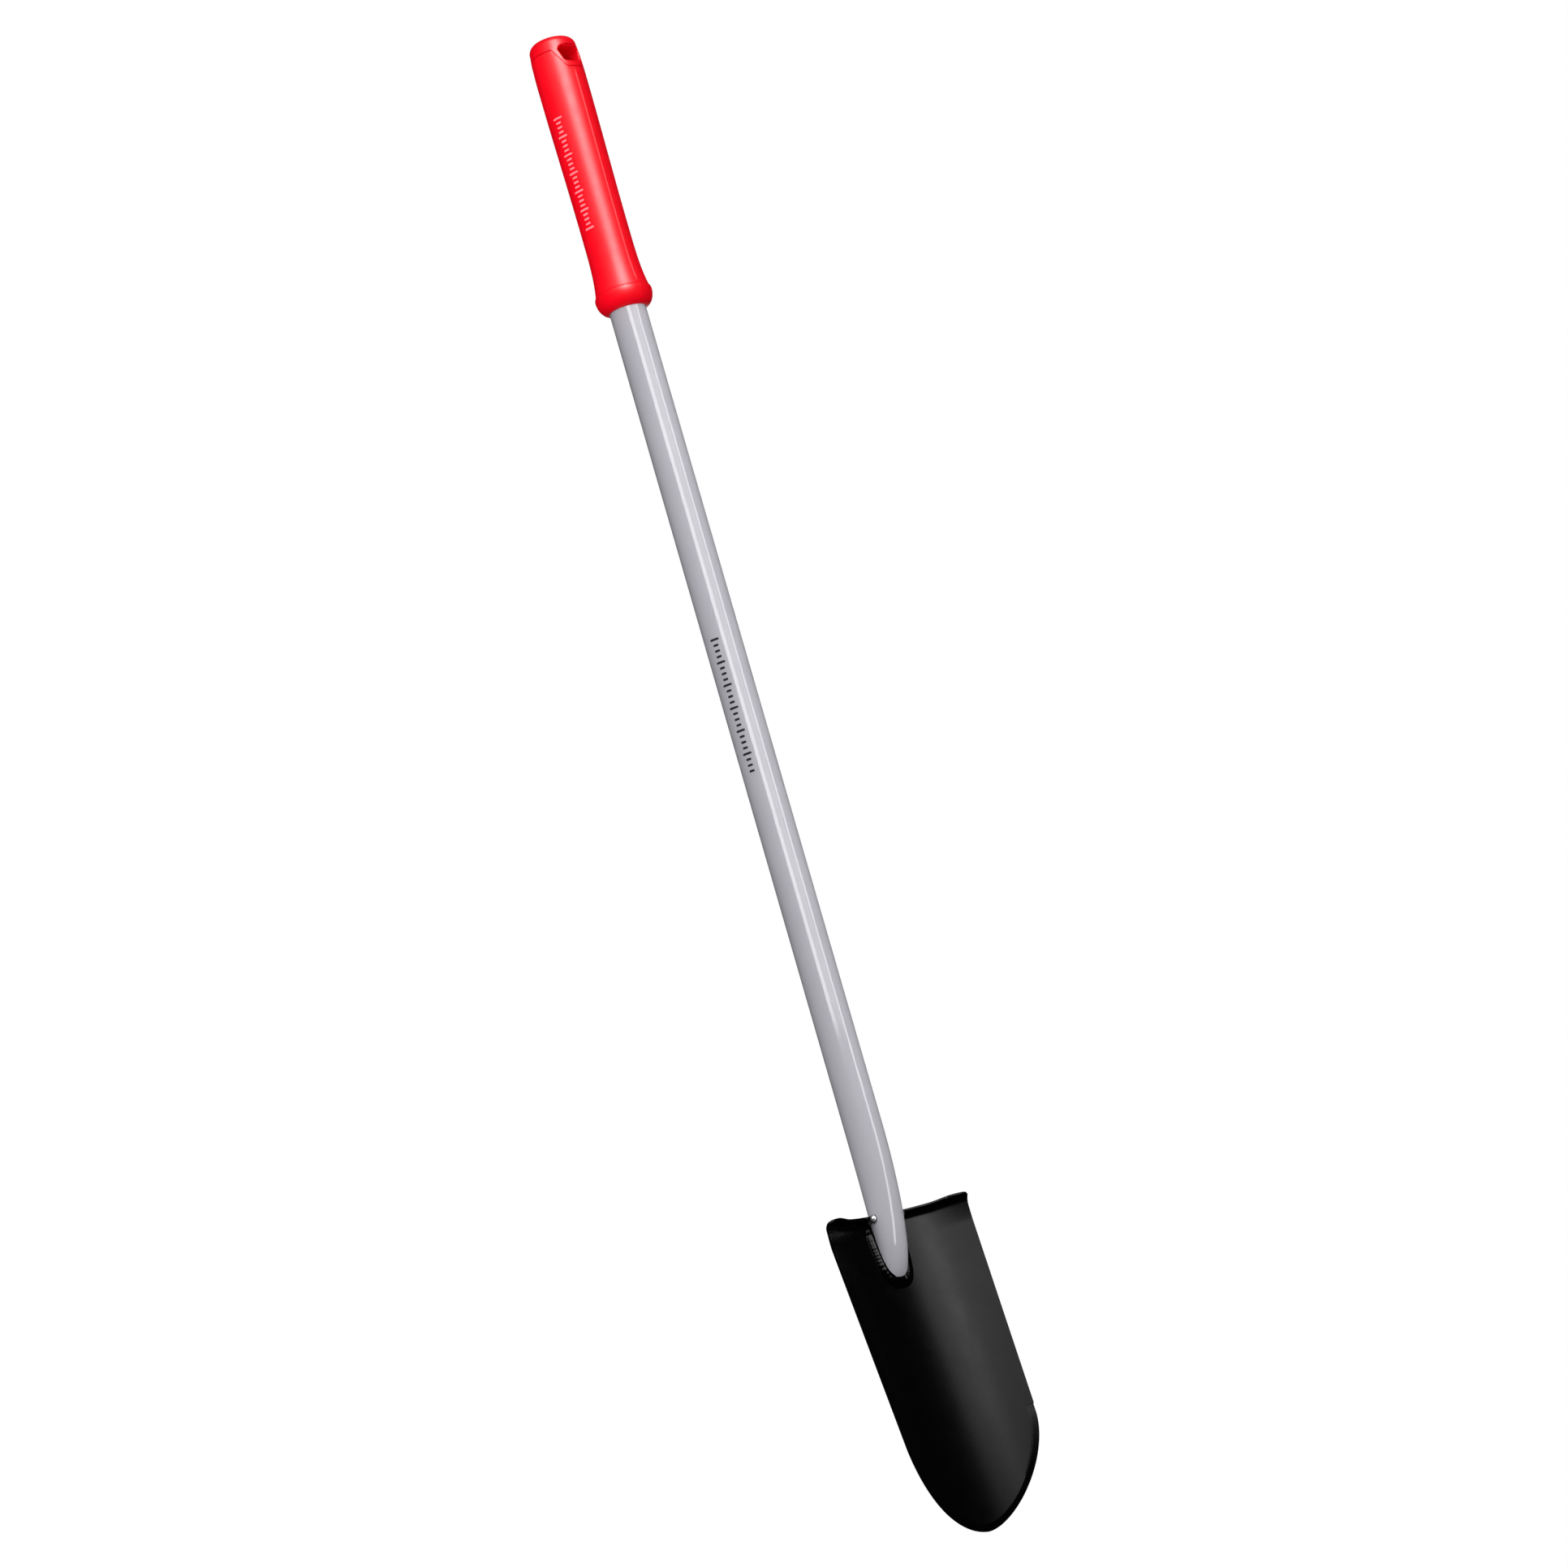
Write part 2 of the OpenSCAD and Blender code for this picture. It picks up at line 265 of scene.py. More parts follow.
def make_sleeve(material):
    turns = grip_turns()
    top = part_height(turns) - PART_GAP / 2
    rows = [(CORE_R + 0.05, top)]
    for inset, drop in ((0.75, 0), (0.28, 0.02), (0.08, 0.12), (0, 0.34), (0, 0.75), (0.09, 0.9), (0.09, 1.0),
                        (0, 1.15)):
        rows.append((grip_r(top - drop) - inset, top - drop))
    low = CREASE_Z + 0.1
    for share in np.linspace(0, 1, 90)[1:]:
        z = (top - 1.15) * (1 - share) + (low + 0.5) * share
        fade = smoothstep(0, 0.02, share) * smoothstep(0, 0.02, 1 - share)
        rows.append((grip_r(z) + seam(turns, grip_r(z), SEAM_H) * fade, z))
    for inset, drop in ((0.08, 0.3), (0.3, 0.47), (0.7, 0.5)):
        rows.append((grip_r(low + 0.5 - drop) - inset, low + 0.5 - drop + 0 * turns))
    rows.append((CORE_R + 0.05, low + 0 * turns))
    pad_low, pad_high = (corner.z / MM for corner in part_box("gel_pad"))
    for radius, z in ((CORE_R + 0.05, pad_low - PAD_PLAY), (PAD_ROOM_R, pad_low - PAD_PLAY),
                      (PAD_ROOM_R, pad_high + PAD_PLAY), (CORE_R + 0.05, pad_high + PAD_PLAY)):
        rows.append((radius, z + 0 * turns))
    points = np.concatenate([revolve(turns, r, z) for r, z in rows])
    faces = grid_faces(len(rows), len(turns), wrap_rows=True, wrap_cols=True)
    piece = make_piece("gel_sleeve_skin", points, faces)
    finish_piece(piece, material, "grip_rubber", "gel_sleeve")


def core_rows(turns):
    """The core's section, from the middle of its top, round the outside, to the end of the tube's bore."""
    flat = 0 * turns
    rows = [(flat, GRIP_TOP_Z + flat)]
    end_r = CAP_SIDE_R - CAP_EDGE_R
    for share in (0.3, 0.6, 0.85):
        rows.append((end_r * share + flat, GRIP_TOP_Z + flat))
    for a in np.radians(np.linspace(90, 0, 15)):
        rows.append((end_r + CAP_EDGE_R * math.cos(a) + flat,
                     GRIP_TOP_Z - CAP_EDGE_R * (1 - math.sin(a)) + flat))
    edge = part_height(turns) + PART_GAP / 2
    side_top = GRIP_TOP_Z - CAP_EDGE_R
    for share in np.linspace(0, 1, 26)[1:]:
        z = side_top * (1 - share) + (edge + 0.6) * share
        rows.append((grip_r(z) + 0.06 * smoothstep(0.5, 1, share), z))
    for inset, rise in ((0.02, 0.3), (0.16, 0.1), (0.4, 0.02), (0.8, 0)):
        rows.append((grip_r(edge + rise) + 0.06 - inset, edge + rise))
    rows.append((CORE_R + flat, edge))
    rows.append((CORE_R + flat, CREASE_Z + flat))
    for inset, drop in ((1.1, 0), (0.72, 0.05), (0.46, 0.25), (0.2, 0.9), (0.04, 1.7)):
        rows.append((COLLAR_R - inset + seam(turns, COLLAR_R, SEAM_H * 0.5), CREASE_Z - drop + flat))
    under = CREASE_Z - 2.2 - GRIP_BOTTOM_Z - LIP_EDGE
    for a in np.radians(np.linspace(0, 84, 16)):
        radius = LIP_R + (COLLAR_R - LIP_R) * math.cos(a) ** COLLAR_FULL
        rows.append((radius + seam(turns, radius, SEAM_H * 0.5), CREASE_Z - 2.2 - under * math.sin(a) + flat))
    for inset, rise in ((0.1, 0.2), (0.35, 0.05), (0.65, 0.03)):
        rows.append((LIP_R - inset + flat, GRIP_BOTTOM_Z + rise + flat))
    rows.append((BORE_R + flat, GRIP_BOTTOM_Z + 0.4 + flat))
    rows.append((BORE_R + flat, TUBE_TOP_Z + flat))
    rows.append((flat, TUBE_TOP_Z + flat))
    return rows


def slot_outline(grow):
    """The hang slot seen from the front, made larger all round by grow."""
    radius = SLOT_CORNER + grow
    wide = SLOT_W / 2 + grow - radius
    low = (SLOT_W - SLOT_TAPER) / 2 + grow - radius
    up = SLOT_H / 2 + grow - radius
    points = []
    for x, z, start in ((wide, up, 0), (-wide, up, 90), (-low, -up, 180), (low, -up, 270)):
        for a in np.radians(np.linspace(start, start + 90, 9)):
            points.append((x + radius * math.cos(a), z + radius * math.sin(a)))
    return np.array(points)


def make_slot_cutter():
    """A tool the shape of the hang slot, flared at both ends so that the cut leaves rounded edges."""
    far = 30.0
    steps = [(SLOT_EDGE * (1 - math.cos(a)), SLOT_EDGE * (1 - math.sin(a)))
             for a in np.radians(np.linspace(76, 0, 8))]
    levels = []
    for side in (-1, 1):
        rings = [(steps[0][0] + 0.5, None)] + [(steps[0][0] + 0.1, -0.6)] + steps
        made = []
        for grow, depth in rings:
            outline = slot_outline(grow)
            if depth is None:
                y = np.full(len(outline), far)
            else:
                radius = grip_r(outline[:, 1])
                y = np.sqrt(np.maximum(radius ** 2 - outline[:, 0] ** 2, 1)) - depth
            made.append(np.stack([outline[:, 0], side * y, outline[:, 1]], 1))
        levels += made if side < 0 else made[::-1]
    around = len(levels[0])
    faces = grid_faces(len(levels), around, wrap_cols=True)
    faces.append(tuple(range(around)))
    faces.append(tuple((len(levels) - 1) * around + i for i in range(around)))
    return make_piece("slot_cutter", np.concatenate(levels), faces)


def make_core(material):
    turns = grip_turns()
    rows = core_rows(turns)
    points = np.concatenate([revolve(turns, r, z) for r, z in rows])
    faces = grid_faces(len(rows), len(turns), wrap_cols=True)
    piece = make_piece("grip_core_body", points, faces)
    cutter = make_slot_cutter()
    cut = piece.modifiers.new("slot", "BOOLEAN")
    cut.operation = "DIFFERENCE"
    cut.solver = "EXACT"
    cut.object = cutter
    bake_modifiers(piece)
    bpy.data.objects.remove(cutter)
    split_large_faces(piece)
    smooth(piece, 30)
    finish_piece(piece, material, "cap_plastic", "grip_core")


def make_pad(material):
    """The gel pad inside the sleeve: a plain thick ring with softened edges."""
    low, high = (c.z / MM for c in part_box("gel_pad"))
    turns = np.linspace(0, 2 * math.pi, 72, endpoint=False)
    inside, outside, soft = CORE_R + 0.07, 15.18, 0.2
    section = [(inside, low + soft), (inside + soft, low), (outside - soft, low), (outside, low + soft)]
    section += [(outside, z) for z in np.linspace(low + 10, high - 10, 12)]
    section += [(outside, high - soft), (outside - soft, high), (inside + soft, high), (inside, high - soft)]
    points = np.concatenate([revolve(turns, r + 0 * turns, z) for r, z in section])
    faces = grid_faces(len(section), len(turns), wrap_rows=True, wrap_cols=True)
    piece = make_piece("gel_pad_body", points, faces)
    finish_piece(piece, material, "gel", "gel_pad")


# ---- Blade ----

def to_row_frame(x, y, z):
    """From the blade's own frame to the row frame."""
    return np.stack([x, BLADE_Y + y * math.cos(LIFT) + z * math.sin(LIFT),
                     BLADE_Z - y * math.sin(LIFT) + z * math.cos(LIFT)], -1)


def smooth_max(a, b, width):
    share = np.clip(0.5 + 0.5 * (a - b) / width, 0, 1)
    return b + (a - b) * share + width * share * (1 - share)


def pocket_back(x, z):
    """The back of the room that the tube's nose needs, as y at (x, z): the nose, run out a little further."""
    run_out = 3.0
    length = NOSE_ROUND + run_out
    tip = NOSE_TIP_Z - run_out
    rounding = np.clip((tip + length - z) / length, 0, 1)
    half = (TUBE_R + 0.15) * (1 - rounding ** NOSE_POWER) ** (1 / NOSE_POWER) + 1e-3
    depth = np.clip((NOSE_TOP_Z - z) / (NOSE_LENGTH + run_out), 0, 1)
    front = -TUBE_R + (NOSE_TIP_Y + TUBE_R) * (1 - (1 - depth ** 2) ** NOSE_PRESS)
    under = np.clip((tip + 20.0 - z) / 20.0, 0, 1)
    back = TUBE_R + 0.15 - (TUBE_R + 0.15 - NOSE_TIP_Y) * (1 - np.sqrt(1 - under ** 2))
    middle, deep = (front + back) / 2, (back - front) / 2
    inside = 1 - (x / half) ** 2
    shape = middle + deep * np.sqrt(np.clip(inside, 0, 1))
    return np.where(inside > 0, shape, middle - 10) - 30 * smoothstep(0, 3, tip - z)


def blade_surface(x, s):
    """The hollow's surface: x across, s down along the sheet from the step's end, as row frame points."""
    across = np.abs(x)
    turned = np.clip((BEND_START - s) / BEND_R, 0, BEND_TURN)
    flat = np.maximum(BEND_START - s - BEND_ARC, 0)
    forward = BEND_R * (1 - np.cos(turned)) + flat * math.sin(BEND_TURN)
    z = np.where(s > BEND_START, -s,
                 -BEND_START + BEND_R * np.sin(turned) + flat * math.cos(BEND_TURN))
    near_top = np.clip((CORNER_DEPTH + z) / CORNER_DEPTH, 0, 1)
    forward = forward + CORNER_LEAN * smoothstep(CORNER_FROM, 68, across) * near_top ** 1.3
    z = z + CORNER_RISE * smoothstep(42, 56, across) * near_top
    radius = HOLLOW_R - forward
    angle = np.arcsin(x / HOLLOW_R)
    place = to_row_frame(radius * np.sin(angle), radius * np.cos(angle) - HOLLOW_R, z)
    pressed = smooth_max(pocket_back(place[..., 0], place[..., 2]), place[..., 1], 2.6)
    inward = smoothstep(BEND_START - 2, BEND_START + 3, s) * (across < 22)
    place[..., 1] += (pressed - place[..., 1]) * inward
    return place


def blade_normal(x, s):
    """Unit normals of the hollow's surface, towards the blade's back."""
    h = 0.05
    across = blade_surface(x + h, s) - blade_surface(x - h, s)
    down = blade_surface(x, s + h) - blade_surface(x, s - h)
    normal = np.cross(across, down)
    normal /= np.linalg.norm(normal, axis=-1, keepdims=True)
    return normal * np.where(normal[..., 1:2] < -0.5, -1, 1)


def step_run(x):
    """How far the sheet runs on past the start of the step's bend, to its cut edge."""
    across = np.abs(x)
    corner = np.clip((across - STEP_ROUND_FROM) / (HALF_TOP + FLARE - STEP_ROUND_FROM), 0, 1)
    reach = STEP_END_REACH + (STEP_REACH - STEP_END_REACH) * np.sqrt(1 - corner ** 2)
    hollow = BLADE_Y - HOLLOW_R + np.sqrt(HOLLOW_R ** 2 - x ** 2)
    clear = TUBE_R + 0.1
    notch = hollow - np.sqrt(np.clip(clear ** 2 - x ** 2, 0, None))
    reach = np.where(across < clear, np.clip(np.minimum(reach, notch), 0.45, None), reach)
    arc = BEND_R * np.arccos(1 - np.minimum(reach, BEND_REACH) / BEND_R)
    return arc + np.maximum(reach - BEND_REACH, 0) / math.sin(BEND_TURN)


def half_width(s):
    """Half of the blade's width at s, above the point: straight sides that flare at the upper corners."""
    return HALF_TOP - (HALF_TOP - HALF_LOW) * s / STRAIGHT + FLARE * (1 - float(smoothstep(2, FLARE_H, s)))


def blade_columns():
    """Places across the blade: shares of the width inside the rim band, and distances from the rim."""
    inside = np.concatenate([np.arange(0, 17, 1.0), np.arange(18.5, 66, 2.0), [67.0]]) / 67.0
    shares = np.concatenate([-inside[:0:-1], inside])
    return shares, np.array([3.9, 2.7, 1.3, EDGE_R])


def blade_grid():
    """Rows of (x, s, bevel) across the blade, from the step's cut edge to the point."""
    shares, insets = blade_columns()
    power = 2 / POINT_POWER
    rows = []

    def add(inner_x, inner_s, rim_x, rim_s, bevel):
        out = 1 - insets / BEVEL_W
        x = inner_x + (rim_x - inner_x) * out
        s = inner_s + (rim_s - inner_s) * out
        drop = bevel * BEVEL_DEPTH * out
        rows.append(np.stack([np.concatenate([-x[::-1], shares * inner_x, x]),
                              np.concatenate([s[::-1], 0 * shares + inner_s, s]),
                              np.concatenate([drop[::-1], 0 * shares, drop])]))

    for run in np.linspace(1, 0, 15)[:-1]:
        half = half_width(BEND_START * (1 - run))
        add(half - BEVEL_W, 0, half, 0, 0)
        rows[-1][1] = BEND_START - run * step_run(rows[-1][0])
    ground = STRAIGHT - BEVEL_RUN
    lines = np.concatenate([np.arange(BEND_START, 60, 1.1), np.arange(60, ground - 1, 3.2),
                            [ground - 0.25, ground, STRAIGHT - 2]])
    for s in lines:
        half = half_width(s)
        add(half - BEVEL_W, s, half, s, float(s >= ground))
    for a in np.radians(np.linspace(0, 90, 58)):
        c, d = max(math.cos(a), 0) ** power, math.sin(a) ** power
        if a > math.radians(89.99):
            c = 0.0
        add((HALF_LOW - BEVEL_W) * c, STRAIGHT + (POINT - BEVEL_W) * d,
            HALF_LOW * c, STRAIGHT + POINT * d, 1)
    return np.array(rows)


def make_blade(material):
    grid = blade_grid()
    x, s, drop = grid[:, 0], grid[:, 1], grid[:, 2]
    rows, cols = x.shape
    base, normal = blade_surface(x, s), blade_normal(x, s)
    front = (base + normal * drop[..., None]).reshape(-1, 3)
    back = (base + normal * SHEET).reshape(-1, 3)
    loop = [i for i in range(cols)]
    loop += [j * cols + cols - 1 for j in range(1, rows)]
    loop += [j * cols for j in range(rows - 2, 0, -1)]
    rim, rim_n = base.reshape(-1, 3)[loop], normal.reshape(-1, 3)[loop]
    rim_drop = drop.reshape(-1)[loop][:, None]
    along = np.roll(rim, -1, 0) - np.roll(rim, 1, 0)
    out = np.cross(along, rim_n)
    out /= np.linalg.norm(out, axis=1, keepdims=True)
    middle = np.array([0, 0, BLADE_Z - 60])
    out *= np.where(((rim - middle) * out).sum(1) > 0, 1, -1)[:, None]
    edge_r = np.minimum(EDGE_R, (SHEET - rim_drop) / 2 - 0.02)
    rings = []
    for reach, depth, from_back in ((0.707, 0.293, 0), (1, 1, 0), (1, 1, 1), (0.707, 0.293, 1)):
        level = SHEET - depth * edge_r if from_back else rim_drop + depth * edge_r
        rings.append(rim + out * reach * edge_r + rim_n * level)
    points = np.concatenate([front, back] + rings)
    count, size = rows * cols, len(loop)
    faces = grid_faces(rows, cols) + grid_faces(rows, cols, first=count)
    chain = [loop] + [[2 * count + k * size + i for i in range(size)] for k in range(4)]
    chain.append([count + i for i in loop])
    for a, b in zip(chain, chain[1:]):
        faces += [(a[i], a[(i + 1) % size], b[(i + 1) % size], b[i]) for i in range(size)]
    piece = make_piece("blade_sheet", points, faces, 14)
    finish_piece(piece, material, "blade_coat", "blade")


# ---- Welds ----

def sweep(name, stations, sections, close_ends=True):
    """A bead along stations of (place, outward, upward), each with a section of (out, up) points."""
    points, around = [], len(sections[0])
    for (place, outward, upward), section in zip(stations, sections):
        points += [place + outward * a + upward * b for a, b in section]
    faces = grid_faces(len(stations), around, wrap_cols=True)
    if close_ends:
        faces.append(tuple(range(around)))
        faces.append(tuple((len(stations) - 1) * around + i for i in range(around)))
    return make_piece(name, np.array(points), faces, 50)


def ripple(length, pitch, seed):
    """Uneven ripples of a weld along its length, about -1 to 1."""
    wave = np.abs(np.sin(math.pi * length / pitch + 0.9 * np.sin(length * 0.31 + seed)))
    return wave * 2 - 1 + 0.5 * np.sin(length * 0.47 + 2 * seed) + 0.3 * np.sin(length * 1.13 + seed)


def nose_outline(top, step):
    """The nose's outline seen from the front, as (x, z) points a step apart, from one upper end to the other."""
    turn = np.linspace(-math.pi / 2, math.pi / 2, 2001)
    power = 2 / NOSE_POWER
    x = TUBE_R * np.sign(turn) * np.abs(np.sin(turn)) ** power
    z = NOSE_TIP_Z + NOSE_ROUND * (1 - np.abs(np.cos(turn)) ** power)
    inside = z < top
    x, z = x[inside], z[inside]
    length = np.concatenate([[0], np.cumsum(np.hypot(np.diff(x), np.diff(z)))])
    even = np.linspace(0, length[-1], int(length[-1] / step))
    return np.interp(even, length, x), np.interp(even, length, z), even


def make_toe_bead(material):
    """The weld round the tube's nose: a rounded fillet from the tube's side down to the hollow."""
    x, z, length = nose_outline(BLADE_Z - TOE_BEAD_TOP, 0.5)
    along = np.stack([np.gradient(x), np.gradient(z)], 1)
    along /= np.linalg.norm(along, axis=1, keepdims=True)
    waves = ripple(length, 2.6, 1.0)
    stations, sections = [], []
    for i in range(len(x)):
        from_end = min(length[i], length[-1] - length[i])
        fade = float(smoothstep(0, 5, from_end))
        outward = np.array([along[i, 1], 0.0, -along[i, 0]])
        foot = np.array([x[i], z[i]]) + outward[[0, 2]] * 2.0
        hollow_y = plain_hollow_y(foot[0], foot[1])
        place = np.array([x[i], hollow_y, z[i]])
        lower = float(smoothstep(0.7, 1.0, -outward[2]))
        wide = (TOE_BEAD_W + 0.5 * lower) * (0.5 + 0.5 * fade) + 0.05 * waves[i]
        tall = (TOE_BEAD_H * (1 - 0.25 * lower) + 0.04 * waves[i]) * (0.4 + 0.6 * fade)
        stations.append((place, outward, np.array([0.0, -1.0, 0.0])))
        curve = [(wide * a, tall * b) for a, b in
                 ((1.10, -0.3), (1.08, 0.0), (1.0, 0.05), (0.92, 0.13), (0.84, 0.27), (0.74, 0.46), (0.62, 0.65),
                  (0.48, 0.82), (0.33, 0.94), (0.18, 1.0), (0.04, 0.98), (-0.1, 0.92))]
        sections.append(curve + [(-2.6, tall * 0.8), (-2.6, -1.0), (wide * 0.9, -1.0)])
    piece = sweep("toe_weld_bead", stations, sections)
    finish_piece(piece, material, "weld_coat", "toe_weld")


def plain_hollow_y(x, z):
    """Y of the hollow at (x, z), without its pressed pocket."""
    depth = HOLLOW_R - math.sqrt(HOLLOW_R ** 2 - x ** 2)
    return BLADE_Y - depth / math.cos(LIFT) + (z - BLADE_Z) * math.tan(LIFT)


def make_collar_bead(material):
    """The bead behind the tube, where the blade's top edge meets it."""
    half_turn = math.radians(93)
    turn = np.linspace(-half_turn, half_turn, 150)
    length = turn * TUBE_R
    waves = ripple(length, 2.3, 3.0)
    stations, sections = [], []
    for a, wave in zip(turn, waves):
        side = abs(a) / half_turn
        fade = float(smoothstep(0, 0.07, 1 - side))
        radius = (1.75 + 0.12 * wave + 1.0 * float(smoothstep(0.78, 0.9, side))) * (0.25 + 0.75 * math.sqrt(fade))
        outward = np.array([math.sin(a), math.cos(a), 0.0])
        level = BLADE_Z - 1.2 - 2.2 * (1 - float(smoothstep(0.3, 0.9, side)))
        place = np.array([0, 0, level]) + outward * (TUBE_R + 0.35)
        stations.append((place, outward, np.array([0.0, 0.0, 1.0])))
        sections.append([(radius * 1.05 * math.cos(b), radius * math.sin(b))
                         for b in np.linspace(0, 2 * math.pi, 20, endpoint=False)])
    piece = sweep("collar_weld_bead", stations, sections)
    finish_piece(piece, material, "weld_silver", "collar_weld")


# ---- Printed marks ----

def make_marks(name, material, slot, radius_at, middle_deg, bars):
    """A row of plain printed bars: each bar is (height, length along the handle, width round it)."""
    points, faces = [], []
    n = 7
    for z0, long, wide in bars:
        for lift in (0.03, -0.08):
            for v in np.linspace(-1, 1, n):
                for u in np.linspace(-1, 1, n):
                    arc = wide / 2 * u * math.sqrt(1 - 0.18 * v * v)
                    z = z0 + long / 2 * v * math.sqrt(1 - 0.18 * u * u)
                    radius = float(radius_at(z))
                    a = math.radians(middle_deg) + arc / radius
                    points.append(((radius + lift) * math.sin(a), -(radius + lift) * math.cos(a), z))
        first = len(points) - 2 * n * n
        faces += grid_faces(n, n, first) + grid_faces(n, n, first + n * n)
        loop = [i for i in range(n)] + [j * n + n - 1 for j in range(1, n)]
        loop += [(n - 1) * n + i for i in range(n - 2, -1, -1)] + [j * n for j in range(n - 2, 0, -1)]
        size = len(loop)
        faces += [(first + loop[i], first + loop[(i + 1) % size], first + n * n + loop[(i + 1) % size],
                   first + n * n + loop[i]) for i in range(size)]
    piece = make_piece(name, points, faces)
    finish_piece(piece, material, slot)


def scale_bars(top, pitch, count, long, tall, short):
    """A plain scale: every fourth bar is tall."""
    return [(top - pitch * k, long, tall if k % 4 == 0 else short) for k in range(count)]


# ---- Materials ----

def new_material(name):
    material = bpy.data.materials.new(name)
    material.use_nodes = True
    tree = material.node_tree
    tree.nodes.clear()
    out = tree.nodes.new("ShaderNodeOutputMaterial")
    shader = tree.nodes.new("ShaderNodeBsdfPrincipled")
    tree.links.new(shader.outputs[0], out.inputs[0])
    place = tree.nodes.new("ShaderNodeTexCoord")
    return material, tree, shader, place.outputs["Object"]


def noise(tree, place, scale, detail=3.0, rough=0.5):
    node = tree.nodes.new("ShaderNodeTexNoise")
    node.inputs["Scale"].default_value = scale
    node.inputs["Detail"].default_value = detail
    node.inputs["Roughness"].default_value = rough
    tree.links.new(place, node.inputs["Vector"])
    return node.outputs[0]


def ramp(tree, value, stops):
    """A colour or grey ramp over value; stops are (position, colour)."""
    node = tree.nodes.new("ShaderNodeValToRGB")
    elements = node.color_ramp.elements
    while len(elements) < len(stops):
        elements.new(0.5)
    for element, (position, colour) in zip(elements, stops):
        element.position = position
        element.color = (*colour, 1) if len(colour) == 3 else (colour[0],) * 3 + (1,)
    tree.links.new(value, node.inputs[0])
    return node.outputs[0]


def bump(tree, shader, height, distance, strength=1.0, below=None):
    node = tree.nodes.new("ShaderNodeBump")
    node.inputs["Strength"].default_value = strength
    node.inputs["Distance"].default_value = distance
    tree.links.new(height, node.inputs["Height"])
    if below is not None:
        tree.links.new(below, node.inputs["Normal"])
    tree.links.new(node.outputs[0], shader.inputs["Normal"])
    return node.outputs[0]


def red_material(name, base, dark, rough, grain, specular=0.5):
    material, tree, shader, place = new_material(name)
    patches = noise(tree, place, 55.0)
    tree.links.new(ramp(tree, patches, [(0.3, dark), (0.7, base)]), shader.inputs["Base Color"])
    tree.links.new(ramp(tree, noise(tree, place, 160.0), [(0.3, (rough[0],)), (0.7, (rough[1],))]),
                   shader.inputs["Roughness"])
    fine = noise(tree, place, grain, 2.0)
    bump(tree, shader, fine, 0.00002, 0.5)
    shader.inputs["Specular IOR Level"].default_value = specular
    return material


def tube_material():
    material, tree, shader, place = new_material("tube_paint")
    patches = noise(tree, place, 30.0)
    tree.links.new(ramp(tree, patches, [(0.3, (0.475, 0.465, 0.51)), (0.7, (0.50, 0.49, 0.535))]),
                   shader.inputs["Base Color"])
    flake = noise(tree, place, 1500.0, 2.0)
    tree.links.new(ramp(tree, flake, [(0.3, (0.36,)), (0.7, (0.44,))]), shader.inputs["Roughness"])
    bump(tree, shader, noise(tree, place, 420.0, 2.0), 0.00001, 0.4)
    shader.inputs["Specular IOR Level"].default_value = 0.1
    shader.inputs["Coat Weight"].default_value = 0.9
    shader.inputs["Coat Roughness"].default_value = 0.06
    return material


def black_material(name, rough, base, specular=0.5):
    material, tree, shader, place = new_material(name)
    patches = noise(tree, place, 40.0)
    lighter = tuple(c * 1.6 for c in base)
    tree.links.new(ramp(tree, patches, [(0.3, base), (0.7, lighter)]), shader.inputs["Base Color"])
    tree.links.new(ramp(tree, noise(tree, place, 90.0, 4.0), [(0.3, (rough[0],)), (0.7, (rough[1],))]),
                   shader.inputs["Roughness"])
    orange_peel = noise(tree, place, 650.0, 2.0)
    bump(tree, shader, orange_peel, 0.00002, 0.35)
    shader.inputs["Specular IOR Level"].default_value = specular
    return material


def silver_weld_material():
    material, tree, shader, place = new_material("weld_silver")
    patches = noise(tree, place, 500.0)
    tree.links.new(ramp(tree, patches, [(0.3, (0.45, 0.44, 0.47)), (0.7, (0.68, 0.67, 0.70))]),
                   shader.inputs["Base Color"])
    tree.links.new(ramp(tree, noise(tree, place, 900.0), [(0.3, (0.18,)), (0.7, (0.34,))]),
                   shader.inputs["Roughness"])
    bump(tree, shader, noise(tree, place, 1200.0, 3.0), 0.00008, 0.6)
    shader.inputs["Metallic"].default_value = 0.75
    return material


def print_material(name, base, rough):
    material, tree, shader, place = new_material(name)
    tree.links.new(ramp(tree, noise(tree, place, 900.0), [(0.3, base), (0.7, tuple(c * 0.85 for c in base))]),
                   shader.inputs["Base Color"])
    tree.links.new(ramp(tree, noise(tree, place, 300.0), [(0.3, (rough,)), (0.7, (rough + 0.08,))]),
                   shader.inputs["Roughness"])
    bump(tree, shader, noise(tree, place, 1500.0), 0.00001, 0.3)
    return material


# ---- Stage, light and camera ----

def make_floor():
    size, height = 9.0, -1.30
    mesh = bpy.data.meshes.new("floor")
    mesh.from_pydata([(-size, -size, height), (size, -size, height), (size, size, height),
                      (-size, size, height)], [], [(0, 1, 2, 3)])
    floor = bpy.data.objects.new("floor", mesh)
    bpy.context.scene.collection.objects.link(floor)
    material = bpy.data.materials.new("floor_white")
    material.use_nodes = True
    tree = material.node_tree
    tree.nodes.clear()
    out = tree.nodes.new("ShaderNodeOutputMaterial")
    glow = tree.nodes.new("ShaderNodeEmission")
    glow.inputs["Strength"].default_value = 1.0
    tree.links.new(glow.outputs[0], out.inputs[0])
    mesh.materials.append(material)
    floor.visible_diffuse = False
    floor.visible_glossy = False
    floor.visible_shadow = False


